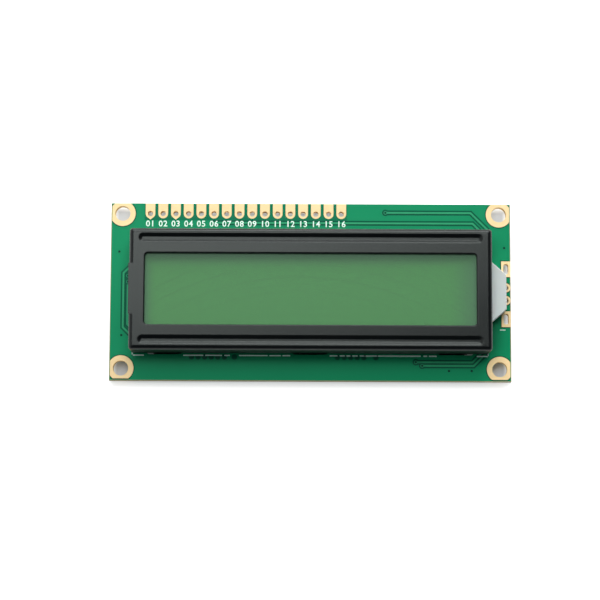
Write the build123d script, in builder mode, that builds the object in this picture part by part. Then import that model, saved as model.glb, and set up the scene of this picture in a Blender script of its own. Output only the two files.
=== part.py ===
from build123d import *
import math
import os

# Character display module: two lines of sixteen characters, lit from one edge.
# Millimetres. The origin is the centre of the mounting-hole pattern, on the rear face of the
# circuit board. +X runs along the board, +Y points to the header pads, and +Z is the way that
# the display faces. The module lies face up on the twisted ends of the bezel's tabs.

# Circuit board
board_length = 79.6
board_width = 35.5
board_thickness = 1.6
board_shift_y = -0.19  # the outline was routed a little low of the hole pattern

# Mounting holes
hole_inset_x = 2.3  # from the board's edge in to the hole centres
hole_inset_y = 2.25
hole_diameter = 3.0
ring_diameter = 5.1

# Copper on the board
copper_thickness = 0.05
plating_wall = 0.05
copper_inset_x = 0.2  # how far the copper stops short of the board's size
copper_inset_y = 0.21

# Header pads
header_count = 16
header_pitch = 2.54
header_end_inset = 7.8  # from the board's edge in to the first hole
header_hole = 1.05
header_pad_width = 1.92
teardrop_count = 2  # on every other pad from the first
teardrop_reach = 1.2  # from the hole's centre to the tip of the drop

# Backlight pads at the end of the board
end_pad_inset = 0.94  # from the board's edge in to the pad centres
pin_pad_spacing = 2.54
pin_hole = 1.0
pin_pad_diameter = 1.8
slot_pad_spacing = 10.0
slot_pad_length = 3.15
slot_pad_width = 1.84
slot_length = 2.15
slot_width = 1.0

# Bezel
bezel_end_margin = 4.25  # of the board, left free beside the bezel
bezel_side_margin = 5.75
bezel_corner_radius = 0.6
bezel_edge_radius = 0.9
sheet_thickness = 0.5
display_y = -0.45  # the display's centre line, from the hole pattern's
window_frame_x = 3.075  # from the bezel's edge in to the window
window_frame_y = 4.975
window_corner_radius = 0.65
window_edge_radius = 0.25
groove_end_inset = 1.825  # from the bezel's edge in to the groove's end
groove_side_inset = 1.95  # from the bezel's edge in to the groove's middle
groove_width = 1.75
groove_depth = 0.4
groove_slope = 57.0
groove_lip_radius = 0.4
groove_floor_radius = 0.25
groove_flank = 0.3  # how much wider the groove is on the underside
tongue_width = 10.0
tongue_overhang = 0.12

# Bezel tabs and the slots that they pass through
tab_count = 3
tab_end_inset = 6.7  # from the bezel's edge in to the middle of the last tab
tab_width = 4.5
tab_drop = 1.4
tab_twist = 24.0
tab_slot_length = 7.0
tab_clearance = 0.25

# Layers of the display, from the board up
reflector_thickness = 0.2
guide_thickness = 3.2
diffuser_thickness = 0.2
rear_polarizer_thickness = 0.25
glass_thickness = 1.1
cell_gap = 0.05
front_polarizer_thickness = 0.2
glass_end_clearance = 0.25
glass_side_clearance = 0.3
guide_end_clearance = 0.45
guide_edge_radius = 0.15
polarizer_margin = 0.8  # how far the front polarizer runs under the bezel's window edge
seal_inset = 0.3
seal_width = 1.0

# Conductive rubber strips and the contacts under them
strip_width = 1.8
strip_clearance = 0.25
strip_inset = 3.8  # from the glass's end in to the strip's end
strip_end = 0.5
contact_pitch = 1.27
contact_width = 0.8
contact_length = 1.6

# Tapered end of the light guide, outside the bezel
funnel_tip_gap = 0.25  # from the tip to the middle of the lamp's pads
funnel_end_width = 6.88
funnel_angle = 41.6
funnel_clearance = 0.25
lamp_pocket_wall = 0.1
lamp_length = 4.0
lamp_depth = 1.1
lamp_height = 1.4
lamp_lead_thickness = 0.4
lamp_lead_width = 0.5
lamp_lead_offset = 0.16  # from the pad's centre, towards the lamp
lamp_lead_bend = 0.25
lamp_lead_drop = 1.0
joint_radius = 0.8
joint_height = 0.85

# Controller and driver dies on the rear, each under a drop of epoxy
die_size = 4.2
die_thickness = 0.4
cap_diameter = 14.0
cap_height = 1.2
cap_spacing = 31.0
cap_row_gap = 9.7  # from the row of resistors down to the caps' centres

# Chip resistors and capacitors on the rear
chip_length = 2.0
chip_width = 1.25
chip_thickness = 0.5
capacitor_thickness = 0.8
chip_pad_length = 1.1
chip_pad_width = 1.4
chip_pad_spacing = 2.1
chip_solder_height = 0.35
chip_solder_sag = 0.08
resistor_row_count = 7
resistor_row_pitch = 3.4
resistor_row_x = 10.0
resistor_row_gap = 3.1  # from the upper tabs down to the row
lamp_resistor_gap = 4.86  # from the lamp's pads in to its resistor
capacitor_spacing = 11.0

# Heights
board_rear = 0.0
board_top = board_rear + board_thickness
guide_z = board_top + reflector_thickness
guide_top = guide_z + guide_thickness
rear_polarizer_z = guide_top + diffuser_thickness
rear_glass_z = rear_polarizer_z + rear_polarizer_thickness
cell_z = rear_glass_z + glass_thickness
front_glass_z = cell_z + cell_gap
front_glass_top = front_glass_z + glass_thickness
bezel_underside = front_glass_top + groove_depth
bezel_top = bezel_underside + sheet_thickness
bezel_height = bezel_top - board_top
strip_z = board_top + copper_thickness

# Plan sizes that follow from the board and the bezel
hole_spacing_x = board_length - 2 * hole_inset_x
hole_spacing_y = board_width - 2 * hole_inset_y
header_first_x = header_end_inset - board_length / 2
copper_length = board_length - 2 * copper_inset_x
copper_width = board_width - 2 * copper_inset_y
copper_reach_y = (copper_width - hole_spacing_y) / 2
bezel_length = board_length - 2 * bezel_end_margin
bezel_width = board_width - 2 * bezel_side_margin
window_length = bezel_length - 2 * window_frame_x
window_width = bezel_width - 2 * window_frame_y
groove_length = bezel_length - 2 * groove_end_inset
groove_spacing = bezel_width - 2 * groove_side_inset
tab_spacing = (bezel_length - 2 * tab_end_inset) / (tab_count - 1)
inner_length = bezel_length - 2 * sheet_thickness
inner_width = bezel_width - 2 * sheet_thickness
wall_y = (bezel_width - sheet_thickness) / 2
front_glass_length = inner_length - 2 * glass_end_clearance
front_glass_width = inner_width - 2 * glass_side_clearance
rear_glass_width = groove_spacing - strip_width - 2 * strip_clearance
strip_length = front_glass_length - 2 * strip_inset
contact_count = math.floor((strip_length - 2 * strip_end) / contact_pitch)
guide_length = inner_length - 2 * guide_end_clearance
end_pad_x = board_length / 2 - end_pad_inset
funnel_tip_x = end_pad_x - funnel_tip_gap
funnel_slope = math.tan(math.radians(funnel_angle))
resistor_row_y = display_y + wall_y - resistor_row_gap
lamp_resistor_x = end_pad_x - lamp_resistor_gap
cap_y = resistor_row_y - cap_row_gap

# Places
display_centre = (0, display_y)
mounting_points = [
    (side_x * hole_spacing_x / 2, side_y * hole_spacing_y / 2)
    for side_x in (-1, 1)
    for side_y in (-1, 1)
]
header_points = [
    (header_first_x + i * header_pitch, hole_spacing_y / 2) for i in range(header_count)
]
slot_pad_points = [(end_pad_x, display_y + side * slot_pad_spacing / 2) for side in (1, -1)]
pin_pad_points = [(end_pad_x, display_y + side * pin_pad_spacing / 2) for side in (1, -1)]
tab_xs = [(i - (tab_count - 1) / 2) * tab_spacing for i in range(tab_count)]
tab_points = [(x, display_y + side * wall_y) for x in tab_xs for side in (1, -1)]
cap_points = [(side * cap_spacing / 2, cap_y) for side in (-1, 1)]
resistor_points = [
    (resistor_row_x + i * resistor_row_pitch, resistor_row_y) for i in range(resistor_row_count)
] + [(lamp_resistor_x, display_y)]
capacitor_points = [(0, cap_y + side * capacitor_spacing / 2) for side in (1, -1)]
chip_points = resistor_points + capacitor_points

os.makedirs("parts", exist_ok=True)


def funnel_half_width(x):
    """Half the width of the light guide's tapered end at x."""
    return funnel_end_width / 2 + (funnel_tip_x - x) * funnel_slope


def layer(length, width, z, thickness):
    """One flat rectangular layer of the display, centred on the window."""
    with BuildPart() as sheet:
        with BuildSketch(Plane.XY.offset(z)):
            with Locations(display_centre):
                Rectangle(length, width)
        extrude(amount=thickness)
    return sheet


def round_holes(points, diameter):
    """Circles of one diameter at the given points of the board."""
    with BuildSketch() as circles:
        with Locations(*points):
            Circle(diameter / 2)
    return circles.sketch


def slots_along_y(points, length, width):
    """Round-ended slots across the board at the given points."""
    with BuildSketch() as slots:
        with Locations(*points):
            SlotOverall(length, width, rotation=90)
    return slots.sketch


def plated_pads(pad_outlines, barrels, bores):
    """Copper on both faces of the board, joined by the plated walls of its holes."""
    with BuildPart() as pads:
        for face_z in (board_top, board_rear - copper_thickness):
            with BuildSketch(Plane.XY.offset(face_z)):
                add(pad_outlines)
            extrude(amount=copper_thickness)
        with BuildSketch(Plane.XY.offset(board_rear)):
            add(barrels)
        extrude(amount=board_thickness)
        with BuildSketch(Plane.XY.offset(board_rear - copper_thickness)):
            add(bores)
        extrude(amount=board_thickness + 2 * copper_thickness, mode=Mode.SUBTRACT)
    return pads


# Holes of the board: each is drilled to the outside of its plating
drill_allowance = 2 * plating_wall
mounting_barrels = round_holes(mounting_points, hole_diameter + drill_allowance)
header_barrels = round_holes(header_points, header_hole + drill_allowance)
pin_barrels = round_holes(pin_pad_points, pin_hole + drill_allowance)
slot_barrels = slots_along_y(
    slot_pad_points, slot_length + drill_allowance, slot_width + drill_allowance
)

# Circuit board
with BuildPart() as circuit_board:
    with BuildSketch(Plane.XY.offset(board_rear)):
        with Locations((0, board_shift_y)):
            Rectangle(board_length, board_width)
        add(mounting_barrels, mode=Mode.SUBTRACT)
        add(header_barrels, mode=Mode.SUBTRACT)
        add(pin_barrels, mode=Mode.SUBTRACT)
        add(slot_barrels, mode=Mode.SUBTRACT)
        with Locations(*tab_points):
            SlotOverall(tab_slot_length, sheet_thickness + 2 * tab_clearance, mode=Mode.SUBTRACT)
    extrude(amount=board_thickness)
circuit_board.part.label = "circuit_board"
export_step(circuit_board.part, "parts/circuit_board.step")

# Mounting rings, with sides cut flat where the copper ends
with BuildSketch() as ring_outlines:
    with Locations(*mounting_points):
        Circle(ring_diameter / 2)
    Rectangle(copper_length, copper_width, mode=Mode.INTERSECT)
mounting_rings = plated_pads(
    ring_outlines.sketch, mounting_barrels, round_holes(mounting_points, hole_diameter)
)
mounting_rings.part.label = "mounting_rings"
export_step(mounting_rings.part, "parts/mounting_rings.step")

# Header pads, which run out to the edge of the copper and end in a half circle or a drop
pad_radius = header_pad_width / 2
tangent_y = -(pad_radius**2) / teardrop_reach
tangent_x = math.sqrt(pad_radius**2 - tangent_y**2)
with BuildSketch() as header_outlines:
    with Locations(*header_points):
        Circle(pad_radius)
        Rectangle(header_pad_width, copper_reach_y, align=(Align.CENTER, Align.MIN))
    with Locations(*header_points[: 2 * teardrop_count : 2]):
        Polygon(
            (tangent_x, tangent_y), (0, -teardrop_reach), (-tangent_x, tangent_y), align=None
        )
header_pads = plated_pads(
    header_outlines.sketch, header_barrels, round_holes(header_points, header_hole)
)
header_pads.part.label = "header_pads"
export_step(header_pads.part, "parts/header_pads.step")

# Slotted pads for the legs of a taller backlight, left empty here
with BuildSketch() as slot_pad_outlines:
    with Locations(*slot_pad_points):
        Rectangle(slot_pad_width, slot_pad_length)
backlight_slot_pads = plated_pads(
    slot_pad_outlines.sketch,
    slot_barrels,
    slots_along_y(slot_pad_points, slot_length, slot_width),
)
backlight_slot_pads.part.label = "backlight_slot_pads"
export_step(backlight_slot_pads.part, "parts/backlight_slot_pads.step")

# Round pads for the two leads of the lamp
backlight_pin_pads = plated_pads(
    round_holes(pin_pad_points, pin_pad_diameter),
    pin_barrels,
    round_holes(pin_pad_points, pin_hole),
)
backlight_pin_pads.part.label = "backlight_pin_pads"
export_step(backlight_pin_pads.part, "parts/backlight_pin_pads.step")

# Rows of contacts on the board, under the rubber strips
with BuildPart() as contact_fingers:
    with BuildSketch(Plane.XY.offset(board_top)):
        with Locations(display_centre):
            with GridLocations(contact_pitch, groove_spacing, contact_count, 2):
                Rectangle(contact_width, contact_length)
    extrude(amount=copper_thickness)
contact_fingers.part.label = "contact_fingers"
export_step(contact_fingers.part, "parts/contact_fingers.step")

# Space inside the bezel, with the inner radius of the drawn sheet
with BuildPart() as bezel_space:
    with BuildSketch(Plane.XY.offset(board_top)):
        with Locations(display_centre):
            RectangleRounded(inner_length, inner_width, bezel_corner_radius - sheet_thickness)
    extrude(amount=bezel_underside - board_top)
    fillet(
        bezel_space.faces().sort_by(Axis.Z)[-1].edges(),
        bezel_edge_radius - sheet_thickness,
    )

# Bezel: one drawn and pierced steel sheet
with BuildPart() as bezel:
    with BuildSketch(Plane.XY.offset(board_top)):
        with Locations(display_centre):
            RectangleRounded(bezel_length, bezel_width, bezel_corner_radius)
    extrude(amount=bezel_height)
    fillet(bezel.faces().sort_by(Axis.Z)[-1].edges(), bezel_edge_radius)
    add(bezel_space.part, mode=Mode.SUBTRACT)

    # Two long grooves, pressed down until they rest on the front glass
    with BuildSketch(Plane.XY.offset(bezel_underside)):
        with Locations(display_centre):
            with GridLocations(0, groove_spacing, 1, 2):
                SlotOverall(groove_length + 2 * groove_flank, groove_width + 2 * groove_flank)
    extrude(amount=-groove_depth, taper=groove_slope)
    with BuildSketch(Plane.XY.offset(bezel_top)):
        with Locations(display_centre):
            with GridLocations(0, groove_spacing, 1, 2):
                SlotOverall(groove_length, groove_width)
    extrude(amount=-groove_depth, taper=groove_slope, mode=Mode.SUBTRACT)
    groove_lips = bezel.faces().sort_by(Axis.Z)[-1].inner_wires()
    fillet([edge for lip in groove_lips for edge in lip.edges()], groove_lip_radius)
    groove_floors = bezel.faces().filter_by_position(
        Axis.Z, bezel_top - groove_depth, bezel_top - groove_depth
    )
    fillet([edge for floor in groove_floors for edge in floor.edges()], groove_floor_radius)

    # Window
    with BuildSketch(Plane.XY.offset(bezel_underside)):
        with Locations(display_centre):
            RectangleRounded(window_length, window_width, window_corner_radius)
    extrude(amount=sheet_thickness, mode=Mode.SUBTRACT)
    openings = bezel.faces().sort_by(Axis.Z)[-1].inner_wires()
    window_lip = openings.sort_by_distance((0, display_y, bezel_top))[0]
    fillet(window_lip.edges(), window_edge_radius)

    # End wall left open over the lamp side of the light guide
    opening_half = funnel_half_width(bezel_length / 2 - sheet_thickness) + funnel_clearance
    with BuildSketch(Plane.XY.offset(board_top)):
        with Locations((bezel_length / 2, display_y)):
            Rectangle(4 * sheet_thickness, 2 * opening_half)
    extrude(amount=guide_top + funnel_clearance - board_top, mode=Mode.SUBTRACT)

    # Other end wall left open under a flat tongue
    with BuildSketch(Plane.XY.offset(board_top)):
        with Locations((-bezel_length / 2, display_y)):
            Rectangle(2 * bezel_edge_radius, tongue_width)
    extrude(amount=bezel_height, mode=Mode.SUBTRACT)
    with BuildSketch(Plane.XY.offset(bezel_underside)):
        with Locations((-bezel_length / 2 - tongue_overhang, display_y)):
            Rectangle(
                bezel_edge_radius + tongue_overhang,
                tongue_width,
                align=(Align.MIN, Align.CENTER),
            )
    extrude(amount=sheet_thickness)

    # Tabs, straight through the board and twisted behind it
    with BuildSketch(Plane.XY.offset(board_rear)):
        with Locations(*tab_points):
            Rectangle(tab_width, sheet_thickness)
    extrude(amount=board_thickness)
    for x, y in tab_points:
        with BuildSketch(Plane((x, y, board_rear))):
            Rectangle(tab_width, sheet_thickness)
        with BuildSketch(Plane((x, y, board_rear - tab_drop))):
            Rectangle(tab_width, sheet_thickness, rotation=tab_twist)
        loft()
bezel.part.label = "bezel"
export_step(bezel.part, "parts/bezel.step")

# Layers of the display and its backlight
front_polarizer = layer(
    window_length + 2 * polarizer_margin,
    window_width + 2 * polarizer_margin,
    front_glass_top,
    front_polarizer_thickness,
)
front_polarizer.part.label = "front_polarizer"
export_step(front_polarizer.part, "parts/front_polarizer.step")

front_glass = layer(front_glass_length, front_glass_width, front_glass_z, glass_thickness)
front_glass.part.label = "front_glass"
export_step(front_glass.part, "parts/front_glass.step")

seal_length = front_glass_length - 2 * seal_inset
seal_span = rear_glass_width - 2 * seal_inset
with BuildPart() as cell_seal:
    with BuildSketch(Plane.XY.offset(cell_z)):
        with Locations(display_centre):
            Rectangle(seal_length, seal_span)
            Rectangle(seal_length - 2 * seal_width, seal_span - 2 * seal_width, mode=Mode.SUBTRACT)
    extrude(amount=cell_gap)
cell_seal.part.label = "cell_seal"
export_step(cell_seal.part, "parts/cell_seal.step")

liquid_crystal = layer(
    seal_length - 2 * seal_width, seal_span - 2 * seal_width, cell_z, cell_gap
)
liquid_crystal.part.label = "liquid_crystal"
export_step(liquid_crystal.part, "parts/liquid_crystal.step")

rear_glass = layer(front_glass_length, rear_glass_width, rear_glass_z, glass_thickness)
rear_glass.part.label = "rear_glass"
export_step(rear_glass.part, "parts/rear_glass.step")

rear_polarizer = layer(seal_length, seal_span, rear_polarizer_z, rear_polarizer_thickness)
rear_polarizer.part.label = "rear_polarizer"
export_step(rear_polarizer.part, "parts/rear_polarizer.step")

diffuser_film = layer(guide_length, rear_glass_width, guide_top, diffuser_thickness)
diffuser_film.part.label = "diffuser_film"
export_step(diffuser_film.part, "parts/diffuser_film.step")

reflector_film = layer(guide_length, rear_glass_width, board_top, reflector_thickness)
reflector_film.part.label = "reflector_film"
export_step(reflector_film.part, "parts/reflector_film.step")

# Lamp at the narrow end of the light guide
lamp_lead_x = end_pad_x - lamp_lead_offset
lamp_face_x = lamp_lead_x - lamp_lead_thickness / 2 - lamp_lead_bend
lamp_z = guide_z + lamp_pocket_wall
with BuildPart() as lamp:
    with BuildSketch(Plane.XY.offset(lamp_z)):
        with Locations((lamp_face_x, display_y)):
            Rectangle(lamp_depth, lamp_length, align=(Align.MAX, Align.CENTER))
    extrude(amount=lamp_height)
lamp.part.label = "lamp"
export_step(lamp.part, "parts/lamp.step")

# Light guide: a flat block whose lamp end tapers outside the bezel
with BuildPart() as light_guide:
    funnel_root_x = guide_length / 2
    with BuildSketch(Plane.XY.offset(guide_z)):
        with Locations(display_centre):
            Rectangle(guide_length, rear_glass_width)
            Polygon(
                (funnel_root_x, funnel_half_width(funnel_root_x)),
                (funnel_tip_x, funnel_end_width / 2),
                (funnel_tip_x, -funnel_end_width / 2),
                (funnel_root_x, -funnel_half_width(funnel_root_x)),
                align=None,
            )
    extrude(amount=guide_thickness)
    fillet(light_guide.faces().sort_by(Axis.Z)[-1].edges(), guide_edge_radius)
    with BuildSketch(Plane.XY.offset(guide_z)):
        with Locations((lamp_face_x - lamp_depth - lamp_pocket_wall, display_y)):
            Rectangle(
                2 * lamp_depth,
                lamp_length + 2 * lamp_pocket_wall,
                align=(Align.MIN, Align.CENTER),
            )
    extrude(amount=lamp_height + 2 * lamp_pocket_wall, mode=Mode.SUBTRACT)
light_guide.part.label = "light_guide"
export_step(light_guide.part, "parts/light_guide.step")

# Leads of the lamp, bent down through the board
lead_z = lamp_z + lamp_height / 2
lead_inner_x = lamp_lead_x - lamp_lead_thickness / 2
lead_outer_x = lamp_lead_x + lamp_lead_thickness / 2
with BuildPart() as lamp_leads:
    for _, lead_y in pin_pad_points:
        with BuildSketch(Plane((0, lead_y, 0), x_dir=(1, 0, 0), z_dir=(0, -1, 0))):
            with BuildLine():
                Polyline(
                    (lamp_face_x, lead_z - lamp_lead_thickness / 2),
                    (lead_inner_x, lead_z - lamp_lead_thickness / 2),
                    (lead_inner_x, board_rear - lamp_lead_drop),
                    (lead_outer_x, board_rear - lamp_lead_drop),
                    (lead_outer_x, lead_z + lamp_lead_thickness / 2),
                    (lamp_face_x, lead_z + lamp_lead_thickness / 2),
                    close=True,
                )
            make_face()
        extrude(amount=lamp_lead_width / 2, both=True)
lamp_leads.part.label = "lamp_leads"
export_step(lamp_leads.part, "parts/lamp_leads.step")

# Solder on the rear pads, round the lamp's leads
with BuildPart() as lamp_solder:
    with Locations(*[(x, y, board_rear - copper_thickness) for x, y in pin_pad_points]):
        Cone(
            joint_radius,
            lamp_lead_thickness,
            joint_height,
            rotation=(180, 0, 0),
            align=(Align.CENTER, Align.CENTER, Align.MIN),
        )
    add(lamp_leads.part, mode=Mode.SUBTRACT)
lamp_solder.part.label = "lamp_solder"
export_step(lamp_solder.part, "parts/lamp_solder.step")

# Conductive rubber strips between the board's contacts and the front glass
strip_names = {1: "rubber_strip_upper", -1: "rubber_strip_lower"}
for side, strip_name in strip_names.items():
    with BuildPart() as rubber_strip:
        with BuildSketch(Plane.XY.offset(strip_z)):
            with Locations((0, display_y + side * groove_spacing / 2)):
                Rectangle(strip_length, strip_width)
        extrude(amount=front_glass_z - strip_z)
    rubber_strip.part.label = strip_name
    export_step(rubber_strip.part, f"parts/{strip_name}.step")

# Bare dies on the rear and the drops of black epoxy that cover them
die_names = ("controller_die", "driver_die")
cap_names = ("controller_cap", "driver_cap")
for (x, y), die_name, cap_name in zip(cap_points, die_names, cap_names):
    with BuildPart() as die:
        with BuildSketch(Plane((x, y, board_rear))):
            Rectangle(die_size, die_size)
        extrude(amount=-die_thickness)
    die.part.label = die_name
    export_step(die.part, f"parts/{die_name}.step")

    with BuildPart() as cap:
        with BuildSketch(Plane((x, y, board_rear), x_dir=(1, 0, 0), z_dir=(0, -1, 0))):
            with BuildLine():
                rim = (cap_diameter / 2, 0)
                crown = (0, -cap_height)
                Bezier(rim, (cap_diameter / 2, -cap_height), (cap_diameter / 4, -cap_height), crown)
                Polyline(crown, (0, 0), rim)
            make_face()
        revolve(axis=Axis((x, y, board_rear), (0, 0, 1)))
        add(die.part, mode=Mode.SUBTRACT)
    cap.part.label = cap_name
    export_step(cap.part, f"parts/{cap_name}.step")

# Pads, chips and solder on the rear
with BuildPart() as chip_pads:
    with BuildSketch(Plane.XY.offset(board_rear)):
        with Locations(*chip_points):
            with GridLocations(0, chip_pad_spacing, 1, 2):
                Rectangle(chip_pad_width, chip_pad_length)
    extrude(amount=-copper_thickness)
chip_pads.part.label = "chip_pads"
export_step(chip_pads.part, "parts/chip_pads.step")

chip_z = board_rear - copper_thickness
with BuildPart() as chip_resistors:
    with BuildSketch(Plane.XY.offset(chip_z)):
        with Locations(*resistor_points):
            Rectangle(chip_width, chip_length)
    extrude(amount=-chip_thickness)
chip_resistors.part.label = "chip_resistors"
export_step(chip_resistors.part, "parts/chip_resistors.step")

with BuildPart() as chip_capacitors:
    with BuildSketch(Plane.XY.offset(chip_z)):
        with Locations(*capacitor_points):
            Rectangle(chip_width, chip_length)
    extrude(amount=-capacitor_thickness)
chip_capacitors.part.label = "chip_capacitors"
export_step(chip_capacitors.part, "parts/chip_capacitors.step")

with BuildPart() as chip_solder:
    fillet_reach = (chip_pad_spacing + chip_pad_length - chip_length) / 2
    for x, y in chip_points:
        for side in (1, -1):
            with BuildSketch(Plane((x, y, chip_z), x_dir=(0, side, 0), z_dir=(side, 0, 0))):
                with BuildLine():
                    inner = (chip_length / 2, 0)
                    outer = (chip_length / 2 + fillet_reach, 0)
                    climb = (chip_length / 2, -chip_solder_height)
                    Polyline(outer, inner, climb)
                    SagittaArc(climb, outer, chip_solder_sag)
                make_face()
            extrude(amount=chip_width / 2, both=True)
chip_solder.part.label = "chip_solder"
export_step(chip_solder.part, "parts/chip_solder.step")
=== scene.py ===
"""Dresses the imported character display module: finishes, board print, studio light and camera.

Sizes are in millimetres and are turned into metres by MM where a mesh or a place is made. The frame
is the part's own: origin at the centre of the mounting holes on the board's rear face, +Z up.
"""

import logging
import math
from collections.abc import Sequence
from dataclasses import dataclass, field
from enum import Enum

import bmesh
import bpy
from mathutils import Matrix, Vector


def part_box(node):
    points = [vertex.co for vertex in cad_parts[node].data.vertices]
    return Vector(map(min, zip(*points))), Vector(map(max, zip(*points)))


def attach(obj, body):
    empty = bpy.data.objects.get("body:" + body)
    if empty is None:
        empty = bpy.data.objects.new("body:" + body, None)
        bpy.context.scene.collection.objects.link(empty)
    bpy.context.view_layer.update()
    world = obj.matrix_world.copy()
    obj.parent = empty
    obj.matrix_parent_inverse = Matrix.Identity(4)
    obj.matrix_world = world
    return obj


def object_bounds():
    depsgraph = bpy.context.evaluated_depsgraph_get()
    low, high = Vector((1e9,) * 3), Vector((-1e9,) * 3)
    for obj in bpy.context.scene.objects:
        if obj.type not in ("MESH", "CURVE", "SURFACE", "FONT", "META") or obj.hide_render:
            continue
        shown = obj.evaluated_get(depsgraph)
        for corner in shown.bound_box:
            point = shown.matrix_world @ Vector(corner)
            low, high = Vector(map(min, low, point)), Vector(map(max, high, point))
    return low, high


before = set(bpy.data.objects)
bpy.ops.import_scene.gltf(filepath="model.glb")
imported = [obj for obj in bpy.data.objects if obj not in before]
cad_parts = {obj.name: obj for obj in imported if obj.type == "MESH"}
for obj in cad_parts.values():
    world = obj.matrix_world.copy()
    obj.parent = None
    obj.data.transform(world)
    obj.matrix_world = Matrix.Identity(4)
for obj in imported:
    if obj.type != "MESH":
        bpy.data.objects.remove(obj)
cad_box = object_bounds()

MM = 0.001
BODY = "root"

log = logging.getLogger("display_module")

Point = tuple[float, float]
Colour = tuple[float, float, float]
Value = float | Sequence[float] | bpy.types.NodeSocket


class Sums(Enum):
    """The Math node's operations that the finishes use."""

    ADD = "ADD"
    SUBTRACT = "SUBTRACT"
    MULTIPLY = "MULTIPLY"
    ABSOLUTE = "ABSOLUTE"
    GREATER = "GREATER_THAN"
    LESS = "LESS_THAN"
    LARGER = "MAXIMUM"
    SMALLER = "MINIMUM"
    SINE = "SINE"


class Side(Enum):
    """A face of the circuit board, with the direction in which print builds up on it."""

    FRONT = 1
    REAR = -1


class Task(Enum):
    """What a lamp of the studio is there for."""

    BOTH = "lights the module and shows in its gloss"
    FILL = "lights the module only"
    CARD = "shows in its gloss only"


class Wiring:
    """Short calls for laying nodes in one shader node tree."""

    def __init__(self, tree: bpy.types.NodeTree) -> None:
        """Works on the given tree.

        Args:
            tree: The node tree of a material, a world or a node group.
        """
        self.tree = tree

    def node(self, kind: str, **settings: object) -> bpy.types.Node:
        """Adds a node.

        Args:
            kind: The node's Blender type.
            settings: Properties of the node, by name.

        Returns:
            The new node.
        """
        made = self.tree.nodes.new(kind)
        for name, value in settings.items():
            setattr(made, name, value)
        return made

    def feed(self, socket: bpy.types.NodeSocket, value: Value) -> None:
        """Links a socket to another, or writes a constant on it.

        Args:
            socket: The input socket.
            value: An output socket, a number or a colour.
        """
        if isinstance(value, bpy.types.NodeSocket):
            self.tree.links.new(value, socket)
        else:
            socket.default_value = value

    def sum(self, operation: Sums, *values: Value) -> bpy.types.NodeSocket:
        """Adds a Math node.

        Args:
            operation: What it works out.
            values: Its one or two inputs.

        Returns:
            The socket with the result.
        """
        made = self.node("ShaderNodeMath", operation=operation.value)
        for socket, value in zip(made.inputs, values):
            self.feed(socket, value)
        return made.outputs[0]

    def mix(self, mask: Value, base: Value, over: Value) -> bpy.types.NodeSocket:
        """Mixes two colours.

        Args:
            mask: 0 for the base colour and 1 for the other.
            base: The colour where the mask is 0.
            over: The colour where the mask is 1.

        Returns:
            The socket with the mixed colour.
        """
        made = self.node("ShaderNodeMix", data_type="RGBA")
        self.feed(made.inputs[0], mask)
        self.feed(made.inputs[6], base)
        self.feed(made.inputs[7], over)
        return made.outputs[2]

    def remap(
        self, value: Value, low: float, high: float, out_low: Value, out_high: Value
    ) -> bpy.types.NodeSocket:
        """Maps a range of values onto another, held at its ends.

        Args:
            value: What is mapped.
            low: The value that becomes out_low.
            high: The value that becomes out_high.
            out_low: The result at the low end.
            out_high: The result at the high end.

        Returns:
            The socket with the mapped value.
        """
        made = self.node("ShaderNodeMapRange")
        for socket, given in zip(made.inputs, (value, low, high, out_low, out_high)):
            self.feed(socket, given)
        return made.outputs[0]

    def noise(self, place: Value, scale: Value, detail: float = 2.0) -> bpy.types.NodeSocket:
        """Adds a noise texture.

        Args:
            place: Coordinates in metres.
            scale: Features per metre.
            detail: How many finer layers it has.

        Returns:
            The socket with a value from about 0 to 1.
        """
        made = self.node("ShaderNodeTexNoise")
        self.feed(made.inputs["Vector"], place)
        self.feed(made.inputs["Scale"], scale)
        made.inputs["Detail"].default_value = detail
        return made.outputs["Fac"]


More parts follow.
